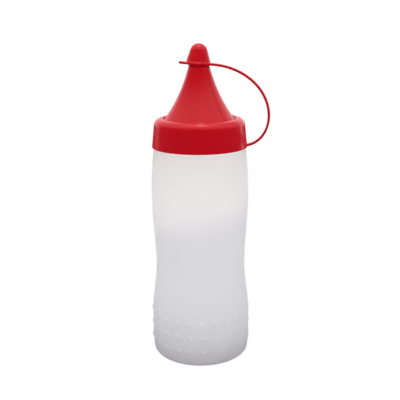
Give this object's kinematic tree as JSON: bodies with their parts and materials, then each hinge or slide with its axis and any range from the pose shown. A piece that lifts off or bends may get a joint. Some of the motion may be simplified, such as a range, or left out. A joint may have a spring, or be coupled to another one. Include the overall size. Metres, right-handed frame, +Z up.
{
  "type": "squeeze bottle",
  "caption": "Waisted squeeze bottle of cloudy soft plastic with rows of grip dots, and a red collar cap with a conical pouring nozzle and a strapped tip cover.",
  "frame": {"origin": "middle of the floor that the whole thing covers, strap included, at the level the base stands on; the bottle's own axis is vertical, 5.7 mm to the -X side of it", "axes": "+Z up the bottle towards the nozzle's tip, +X towards the strap's loop, -Y the side that the picture shows"},
  "size_m": [0.0753, 0.064, 0.2005],
  "materials": {
    "cloudy_plastic": "cloudy, see-through soft polyethylene with a satin surface",
    "red_plastic": "glossy moulded red plastic"
  },
  "bodies": {
    "root": {"bottle": "cloudy_plastic", "nozzle_cap": "red_plastic"}
  },
  "joints": []
}
